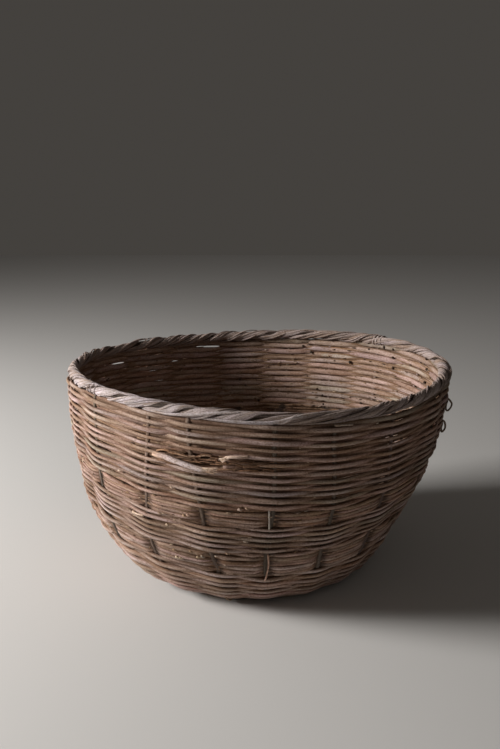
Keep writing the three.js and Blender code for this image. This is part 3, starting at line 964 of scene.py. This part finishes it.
PALE = np.array([0.53, 0.47, 0.475])
DULL = np.array([0.39, 0.315, 0.285])

# Tight windings round the rim: start angle, turns, degrees to a turn and radius
WINDINGS = ((-147.5, 2.6, 2.2, 0.7), (40.0, 3.5, 1.5, 1.1))

# Strips across the front of the rim: angle round the rim and about it, radius and tone
FRONT_STRIPS = (
    (((-105, -40), (-96, -42), (-90.2, -40), (-86.1, -28), (-84.2, -5), (-81.5, 24), (-78.3, 39), (-72, 66)),
     2.1, PALE * 0.9),
    (((-86.5, -66), (-82.9, -52), (-78.1, -6.6), (-72.8, 28.5), (-67.1, 49), (-62, 66)), 1.75, DULL),
    (((-83, -74), (-79.1, -62), (-73.9, -50), (-68.8, -11), (-62, 30), (-56, 56)), 1.6, DULL * 0.8),
    (((-77, -72), (-70, -50), (-63, -8), (-56, 34), (-49, 62)), 1.7, DULL * 0.9),
    (((-122, -58), (-114, -44), (-107, -10), (-101, 30), (-95, 60)), 1.8, PALE * 0.95),
    (((-60, -66), (-53, -40), (-46, 2), (-40, 44)), 1.6, DULL * 0.85))


def front_strips(piece):
    """Tight windings, strips over the right edge and across the front, a raised strip and a split end."""
    for start, turns, pitch, size in WINDINGS:
        t = np.arange(0, turns, 1 / 28)
        phi = start + pitch * t + 0.22 * sin(4.3 * t)
        rim_rod(piece, phi, 360 * t - 60, 6.3 + 0.25 * sin(7 * t), size * (1 + 0.12 * sin(5 * t)),
                (PALE + DULL) * 0.5, sides=8, flat=0.6, crevice=0.15, rough=0.08)
    for k in range(7):
        t = np.linspace(0, 1, 50)
        start = rng.uniform(-20, -12)
        rim_rod(piece, start + rng.uniform(14, 24) * t, rng.uniform(-70, 10) + 50 * t,
                6.2 + rng.uniform(1.2, 3.0) * sin(pi * t), rng.uniform(0.9, 1.4),
                DULL * rng.uniform(0.6, 0.9), sides=8, flat=0.7, crevice=0.2, rough=0.08)
    for way_round, size, shade in FRONT_STRIPS:
        at, turn = np.array(way_round, float).T
        phi = np.arange(at[0], at[-1], 0.25)
        t = np.linspace(0, 1, len(phi))
        psi = smoothed(np.interp(phi, at, turn), 17, "edge")
        ends = sin(pi * np.clip(t, 0.02, 0.98)) ** 0.3
        rim_rod(piece, phi, psi, 4.9 + 1.6 * ends, size * (0.45 + 0.55 * ends), shade,
                sides=9, flat=0.72, crevice=0.06, rough=0.06)
    t = np.linspace(0, 1, 40)
    rim_rod(piece, 142 - 11 * t, 128 - 58 * t, 6.2 + 1.9 * sin(pi * t),
            2.0 * sin(pi * (0.08 + 0.84 * t)), DULL, sides=10, flat=0.6, crevice=0.15)
    t = np.linspace(0, 1, 24)
    rim_rod(piece, -86.2 + 5.4 * t, -62 + 112 * t, 6.6 + 0.8 * sin(pi * t),
            1.7 * (0.4 + 0.6 * sin(pi * t)), PALE * 1.15, sides=8, flat=0.5, crevice=0.05)


column = rim_phi[:, None]
for strand in range(2):
    piece = Piece()
    v = np.linspace(1, -1, ACROSS)[None]
    half = 90 * (1 - gap_share)[:, None]
    middle = (180 * (half_twists + strand) + 90)[:, None]
    ang = middle + half * v
    rho = (STRAND_RHO + 0.55 * swell[:, None]
           + 0.75 * np.sqrt(clamp(1 - v ** 2)) - 0.9 * np.abs(v) ** 9)
    # Painted shade along the strip's edges and in its grooves.
    strip_shade = 0.75 * np.abs(v) ** 10 + 0 * half
    for groove in GROOVES:
        line = groove + 0.10 * ring_wave(column, 18, 0.55)
        deep = np.clip(0.55 + ring_wave(column, 14, 0.28), 0.05, 1.3)
        cut = exp(-((v - line) / 0.05) ** 2)
        rho = rho - 0.7 * deep * cut
        strip_shade = strip_shade + 0.9 * deep * cut
    rho = rho + 0.12 * sin(v * 9 + ring_wave(column, 12, 1.2))
    line = rim_line(rim_phi)[:, None]
    way = rim_way(column, ang)
    outer = line + rho[..., None] * way
    inner = (line + (rho - STRAND_THICK)[..., None] * way)[:, ::-1]
    rings = np.concatenate([outer, inner], axis=1)
    width = v * STRAND_HALF_WIDTH + 0 * rho
    along = walked(line[:, 0])[:, None]
    grain = np.stack([np.concatenate([along + 0 * rho] * 2, axis=1) * 1.1 + 300 * strand,
                      np.concatenate([width, width[:, ::-1]], axis=1) + 40 * strand,
                      np.concatenate([0 * rho, 0 * rho + STRAND_THICK], axis=1)], axis=-1)
    patch = clamp(0.5 + ring_wave(column, 24, 0.22))
    mixed = clamp(0.75 * rim_pale(rim_phi) + 0.35 * patch)[..., None]
    shade = (PALE * mixed + DULL * (1 - mixed)) * (1 + 0.05 * sin(v * 5 + 3 * patch))[..., None]
    # The strip's inner face is painted at half tone with a high crevice value: painted shade.
    tone = np.concatenate([shade, shade[:, ::-1] * 0.5], axis=1)
    crev = np.concatenate([strip_shade, 0 * strip_shade + 0.9], axis=1)
    piece.loft(rings, grain, tone, crev, closed=True)

    # Loose strips follow the twist and lift off it here and there, most at the back.
    for k in range(LOOSE_STRIPS + RAGGED_STRIPS):
        at_back = k >= LOOSE_STRIPS
        start = rng.uniform(25, 165) if at_back else rng.uniform(-158, 200)
        span = rng.uniform(7, 24)
        phi = np.arange(start, start + span, 0.25)
        own = np.interp((phi - RIM_START) % 360 + RIM_START, rim_phi, half_twists)
        own = own + HALF_TWISTS * np.floor((phi - RIM_START) / 360)
        own = own[0] + (own - own[0]) * rng.uniform(0.75, 1.0)
        psi = 180 * (own + strand) + 90 + rng.uniform(-62, 62)
        t = np.linspace(0, 1, len(phi))
        lift = (2.3 if at_back else 0.9) * rng.uniform(0.4, 1.2)
        rim_rod(piece, phi, psi, 5.55 + lift * sin(pi * t) ** 0.6,
                rng.uniform(0.8, 1.6) * (0.35 + 0.65 * sin(pi * t) ** 0.5),
                (DULL * (1 - rim_pale(phi)) + PALE * rim_pale(phi)) * rng.uniform(0.75, 1.2),
                sides=8, flat=0.6, crevice=0.12, rough=0.06)
    if strand == 0:
        front_strips(piece)
    name = "ab"[strand]
    piece.build(f"rim_strand_{name}", RIM_SKIN, [f"rim_wrap_{name}"])


def wall_curve(points, step=1.6):
    """Smooth curve through points given as (angle, s, n)."""
    p = np.array(points, float)
    return resample(place(p[:, 0], p[:, 1], p[:, 2]), step)


# Snapped rod: its loose length, the split end, the stub across the gap, and torn fibres
SPLINTERS = 11
STUB_SPLINTERS = 5
FIBRES = 150
broken = Piece()
GREY = np.array([0.70, 0.60, 0.60])
CREAM = np.array([0.88, 0.68, 0.54])
TAN = np.array([0.56, 0.39, 0.28])
RUST = np.array([0.23, 0.135, 0.08])
path = wall_curve([(-117.9, 345.2, 4.4), (-117.0, 345.4, 5.6), (-114.0, 345.1, 6.4), (-110.2, 342.6, 7.2),
                   (-106.9, 339.9, 7.8), (-103.6, 338.2, 7.6), (-102.4, 338.4, 7.2)])
t = np.linspace(0, 1, len(path))[:, None]
golden = exp(-(t / 0.3) ** 2)
torn = clamp((t - 0.84) / 0.12)
shade = GREY * (0.86 + 0.2 * t) * (1 - golden) + TAN * golden
shade = shade * (1 - torn) + CREAM * torn
radius = (2.9 - 0.5 * exp(-(t / 0.1) ** 2) - 1.3 * torn)[:, 0] + 0.1 * sin(t[:, 0] * 22)
broken.tube(path, radius, shade, crevice=0.05, rough=0.06, end_tone=TAN * 1.1)
for k in range(SPLINTERS):
    side = -1 + 2 * k / (SPLINTERS - 1)
    end = rng.uniform(-101.4, -99.7)
    path = wall_curve([(-105.2, 338.4 + 1.3 * side, 7.6 + rng.normal(0, 0.4)),
                       (-103.0, 338.6 + 2.0 * side, 7.9 + rng.normal(0, 0.6)),
                       (end, 338.9 + 2.5 * side, 7.6 + rng.normal(0, 0.9))], 1.0)
    t = np.linspace(1, 0, len(path))
    colour = TAN if k < 2 else CREAM
    broken.tube(path, rng.uniform(0.5, 0.85) * (0.3 + 0.7 * t ** 0.5), colour * rng.uniform(0.85, 1.15),
                sides=6, rough=0.12)

path = wall_curve([(-98.2, 351.6, 4.6), (-97.0, 353.0, 5.4), (-95.0, 353.6, 5.0), (-92.6, 353.4, 3.0)])
t = np.linspace(0, 1, len(path))[:, None]
split = (1 - t) ** 1.3
broken.tube(path, 1.9, CREAM * split + TONES[4] * (1 - split), flat=0.7, rough=0.12, end_tone=CREAM * 1.15)
for k in range(STUB_SPLINTERS):
    low = -1.4 + 0.7 * k
    path = wall_curve([(-97.4, 352.4 + low, 5.2), (-98.2, 350.9 + low, 6.0),
                       (-98.9 - 0.2 * k, 348.9 + low, 5.6)], 1.0)
    broken.tube(path, 0.65, CREAM * rng.uniform(0.85, 1.05), sides=6, rough=0.12)
for k in range(FIBRES):
    at = rng.uniform(-114.5, -86.0)
    up = rng.uniform(337.0, 351.0)
    hides_end = -109.0 < at < -97.0 and up < 343.0
    if hides_end or -104.5 < at < -98.8 and rng.random() < 0.8:
        continue
    reach = rng.uniform(2.0, 6.5) * rng.choice([-1, 1])
    rise = rng.normal(0, 0.9)
    depth = rng.uniform(-0.5, 3.2)
    path = wall_curve([(at, up, depth), (at + 0.5 * reach, up + rise, depth + rng.uniform(0.2, 0.9)),
                       (at + reach, up + rng.normal(0, 1.0), depth)], 1.2)
    colour = RUST * rng.uniform(0.6, 1.7) if rng.random() < 0.87 else TAN * rng.uniform(0.5, 0.9)
    broken.tube(path, rng.uniform(0.4, 1.0), colour, sides=6, rough=0.2, crevice=0.25)
broken.build("snapped_rod", SNAP_SKIN, ["broken_rod_end"])

# Loose twigs caught in the weave: two loops at the right edge, as angle and (s, n)
LOOPS = (
    (-8.0, ((365.0, 3.0), (361.8, 7.6), (357.4, 11.1), (352.5, 10.6), (348.4, 7.9), (349.9, 5.4),
            (355.4, 4.9), (359.5, 5.5), (364.5, 4.0))),
    (-9.0, ((338.0, 4.7), (335.9, 7.1), (331.3, 9.0), (327.0, 9.3), (323.0, 7.0), (327.4, 5.0),
            (331.8, 5.2), (337.0, 4.5))))

# Thin ones in front, as (angle, s, n), radius and tone
TWIGS = (
    (((-83.9, 232.0, 2.0), (-83.7, 229.8, 4.6), (-83.3, 213.2, 4.4), (-84.3, 193.4, 5.2),
      (-84.6, 189.0, 3.0)), 0.95, (0.62, 0.42, 0.34)),
    (((-86.3, 294.5, 1.5), (-86.2, 291.0, 3.6), (-85.8, 281.0, 3.4), (-85.4, 272.0, 4.2),
      (-85.3, 268.0, 2.0)), 0.8, (0.46, 0.42, 0.36)),
    (((-101.9, 143.0, 3.0), (-101.6, 138.0, 5.0), (-100.9, 133.0, 6.0), (-100.2, 129.5, 5.6)),
     0.7, (0.45, 0.36, 0.25)),
    (((-127.7, 269.3, 3.8), (-127.2, 269.2, 5.4), (-125.2, 268.9, 5.7), (-123.4, 268.0, 5.0)),
     1.15, (0.78, 0.62, 0.50)),
    (((-71.5, 384.6, 4.0), (-69.6, 385.2, 6.6), (-67.6, 384.6, 6.2), (-66.4, 383.6, 4.0)),
     0.9, (0.55, 0.45, 0.38)))

# Chips of wood: angle, s, size and tone
CHIPS = (
    (-109.3, 280.5, 1.4, (0.60, 0.46, 0.35)), (-108.2, 281.6, 1.1, (0.54, 0.39, 0.32)),
    (-112.9, 220.6, 1.5, (0.52, 0.41, 0.29)), (-111.6, 219.4, 1.1, (0.54, 0.44, 0.32)),
    (-104.0, 227.2, 1.8, (0.54, 0.46, 0.37)), (-105.4, 226.0, 1.3, (0.48, 0.39, 0.29)),
    (-94.0, 295.0, 1.5, (0.58, 0.44, 0.37)), (-92.0, 296.4, 1.0, (0.48, 0.34, 0.24)),
    (-114.8, 264.7, 1.2, (0.60, 0.46, 0.34)), (-131.3, 315.4, 1.3, (0.56, 0.44, 0.33)),
    (-96.0, 235.4, 1.3, (0.46, 0.33, 0.24)), (-112.8, 311.6, 1.2, (0.58, 0.45, 0.34)))

# Dark specks on the inside, painted shade standing in for small holes: large ones where the photo has them,
# small ones near the stakes
LARGE_SPECKS = (
    (35.9, 383.0), (35.5, 372.4), (34.8, 359.2), (17.4, 385.0), (16.0, 372.7), (15.8, 355.9), (72.0, 375.8),
    (68.8, 367.4), (64.9, 314.6), (62.4, 305.2), (87.9, 296.2), (53.2, 357.1), (39.9, 384.0))
SMALL_SPECKS = 70
HOLE_SHADE = np.array([0.055, 0.036, 0.024])

twigs = Piece()
for at, ring in LOOPS:
    lean = np.linspace(-0.8, 0.8, len(ring))
    path = wall_curve([(at + d, s, n) for d, (s, n) in zip(lean, ring)], 1.0)
    twigs.tube(path, 1.15 + 0.15 * sin(np.linspace(0, 11, len(path))), (0.22, 0.165, 0.12),
               sides=8, rough=0.1)
for points, r, shade in TWIGS:
    path = wall_curve(points, 1.2)
    twigs.tube(path, r * (1 + 0.12 * sin(np.linspace(0, 9, len(path)))), shade, sides=7, rough=0.08)
for phi, s, size, shade in CHIPS:
    turn, rise = rng.uniform(-1, 1, 2)
    path = wall_curve([(phi - 0.5, s - 0.6 * rise, 4.2), (phi - 0.2, s, 5.3 + 0.4 * turn),
                       (phi + 0.3, s + 0.8 * rise, 5.4), (phi + 0.6, s + rise, 4.4)], 0.7)
    twigs.tube(path, size * (0.7 + 0.3 * sin(np.linspace(0.5, 5, len(path)))), shade,
               sides=6, rough=0.3, flat=0.6)

specks = list(LARGE_SPECKS)
for k in range(SMALL_SPECKS):
    specks.append((FIRST + STEP * rng.integers(0, STAKES) + rng.normal(0, 2.0), rng.uniform(150, 382)))
# Each speck is painted shade of a small hole on the inside.
for number, (phi, s) in enumerate(specks):
    t = np.linspace(-1, 1, 6)
    size = rng.uniform(0.8, 1.5) * (1.6 if number < len(LARGE_SPECKS) else 1)
    path = place(phi + 0.32 * t, s + rng.normal(0, 0.5) * t + row_drift(phi, s), -2.9 - 0.5 * (1 - t ** 2))
    twigs.tube(path, size * (0.45 + 0.55 * (1 - t ** 2)), HOLE_SHADE * rng.uniform(0.7, 1.6),
               sides=6, rough=0.25, crevice=0.3)
twigs.build("caught_twigs", SNAP_SKIN)

# The floor, a faint even light, two lamps and the camera of the photo
bpy.ops.mesh.primitive_plane_add(size=8, location=(0, 0, -0.0004))
floor = bpy.context.object
floor.name = "floor"
pale = bpy.data.materials.new("pale_floor")
pale.use_nodes = True
bsdf = pale.node_tree.nodes["Principled BSDF"]
bsdf.inputs["Base Color"].default_value = (0.62, 0.61, 0.60, 1)
bsdf.inputs["Roughness"].default_value = 0.9
floor.data.materials.append(pale)

world = bpy.data.worlds.new("studio")
bpy.context.scene.world = world
world.use_nodes = True
background = world.node_tree.nodes["Background"]
background.inputs["Color"].default_value = (0.96, 0.88, 0.79, 1)
background.inputs["Strength"].default_value = 0.06

for name, at, target, size, power, colour in (
        ("key", (-2.03, -0.24, 0.95), (0, 0, 0.14), 0.7, 78, (1.0, 0.975, 0.94)),
        ("fill", (0.6, -2.2, 1.5), (0, 0, 0.1), 1.8, 2, (1.0, 0.94, 0.87))):
    data = bpy.data.lights.new(name, "AREA")
    data.shape = "RECTANGLE"
    data.size = data.size_y = size
    data.energy = power
    data.color = colour
    ob = added(name, data)
    ob.location = at
    ob.rotation_euler = (Vector(target) - Vector(at)).to_track_quat("-Z", "Y").to_euler()

cam_data = bpy.data.cameras.new("camera")
cam_data.sensor_fit = "HORIZONTAL"
cam_data.sensor_width = 36.0
cam_data.lens = 64.8
cam = added("camera", cam_data)
cam.location = (-0.01036, -1.0652, 0.483)
cam.rotation_euler = (math.radians(90 - 13), 0, 0)
bpy.context.scene.camera = cam
bpy.context.scene.view_settings.view_transform = "Standard"
